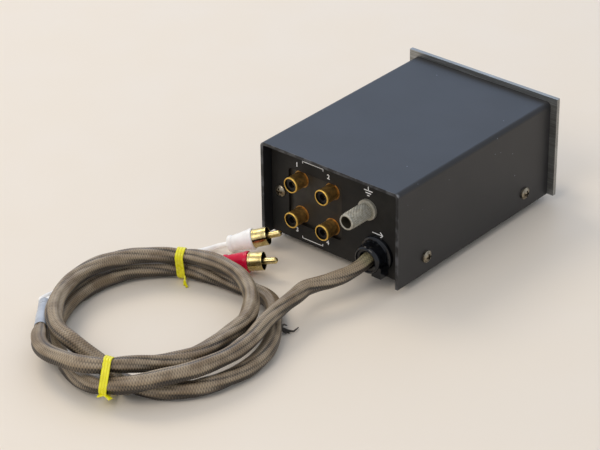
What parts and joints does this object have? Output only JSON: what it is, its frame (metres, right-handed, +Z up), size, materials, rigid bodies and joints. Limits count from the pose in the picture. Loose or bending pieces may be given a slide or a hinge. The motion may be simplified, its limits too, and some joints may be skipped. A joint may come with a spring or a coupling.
{
  "type": "moving coil step-up transformer",
  "caption": "Small steel-cased step-up transformer for record player pickups, with selector knobs in front, phono jacks and earth terminal behind, and a braided output cord with plugs.",
  "frame": {"origin": "middle of the case with its controls, on the surface its feet stand on", "axes": "+Y to the rear, where the jacks are; +Z up; +X to the left channel's side, seen from behind it is on the left"},
  "size_m": [0.1337, 0.2981, 0.0582],
  "materials": {
    "black_paint": "semi-matt black paint, worn at the edges",
    "panel_aluminium": "brushed, clear anodised",
    "knob_aluminium": "turned",
    "screw_nickel": "nickel plated, slightly yellowed",
    "set_screw_steel": "black oxide",
    "foot_rubber": "matt",
    "board_laminate": "black laminate",
    "wafer_laminate": "brown laminate",
    "rotor_plastic": "moulded",
    "jack_gold": "gold plated, browned by age",
    "black_insulator": "moulded",
    "terminal_nickel": "dull nickel",
    "gland_plastic": "moulded black nylon",
    "selector_metal": "plated",
    "shaft_brass": "turned",
    "can_metal": "dull magnetic alloy",
    "core_steel": "stacked sheets",
    "winding_copper": "enamelled wire",
    "wire_insulation": "smooth",
    "cord_braid": "fine dark braid",
    "shrink_grey": "shrunk on",
    "white_plastic": "smooth",
    "red_plastic": "smooth",
    "plug_gold": "gold plated",
    "tie_yellow": "smooth"
  },
  "bodies": {
    "case": {"base_chassis": "black_paint", "top_cover": "black_paint", "front_panel": "panel_aluminium", "panel_screws": "screw_nickel", "cover_screws": "screw_nickel", "foot_screws": "screw_nickel", "jack_board_screws": "screw_nickel", "transformer_screws": "screw_nickel", "rubber_feet": "foot_rubber", "jack_board": "board_laminate", "input_selector_wafer": "wafer_laminate", "load_selector_wafer": "wafer_laminate", "input_1_left_jack": "jack_gold", "input_1_right_jack": "jack_gold", "input_2_left_jack": "jack_gold", "input_2_right_jack": "jack_gold", "jack_contacts": "jack_gold", "jack_insulators": "black_insulator", "plug_insulators": "black_insulator", "ground_stud": "terminal_nickel", "ground_clamp_washer": "terminal_nickel", "ground_lug": "terminal_nickel", "strain_relief_body": "gland_plastic", "strain_relief_wedge": "gland_plastic", "input_selector_bushing": "selector_metal", "load_selector_bushing": "selector_metal", "selector_nuts": "selector_metal", "selector_terminals": "selector_metal", "left_shield_can": "can_metal", "left_can_lid": "can_metal", "right_shield_can": "can_metal", "right_can_lid": "can_metal", "left_core": "core_steel", "right_core": "core_steel", "left_winding": "winding_copper", "right_winding": "winding_copper", "signal_wires": "wire_insulation", "output_cord_lead": "cord_braid", "output_cord_coil": "cord_braid", "cord_split_sleeve": "shrink_grey", "left_tail_cord": "white_plastic", "right_tail_cord": "white_plastic", "left_plug_body": "white_plastic", "right_plug_body": "red_plastic", "left_plug_shell": "plug_gold", "left_plug_pin": "plug_gold", "right_plug_shell": "plug_gold", "right_plug_pin": "plug_gold", "upper_coil_tie": "tie_yellow", "lower_coil_tie": "tie_yellow"},
    "input_selector": {"input_selector_knob": "knob_aluminium", "input_selector_set_screw": "set_screw_steel", "input_selector_shaft": "shaft_brass", "input_selector_rotor": "rotor_plastic"},
    "load_selector": {"load_selector_knob": "knob_aluminium", "load_selector_set_screw": "set_screw_steel", "load_selector_shaft": "shaft_brass", "load_selector_rotor": "rotor_plastic"},
    "ground_nut": {"ground_thumb_nut": "terminal_nickel"}
  },
  "joints": [
    {"name": "input_selector_turn", "type": "hinge", "parent": "case", "child": "input_selector", "pos_m": [0.022, -0.06, 0.02975], "axis": [0, 1, 0], "range_deg": [0, 30]},
    {"name": "load_selector_turn", "type": "hinge", "parent": "case", "child": "load_selector", "pos_m": [-0.022, -0.06, 0.02975], "axis": [0, 1, 0], "range_deg": [-30, 30]},
    {"name": "ground_nut_turn", "type": "hinge", "parent": "case", "child": "ground_nut", "pos_m": [-0.0197, 0.068, 0.0375], "axis": [0, 1, 0], "range_deg": [0, 360]}
  ]
}
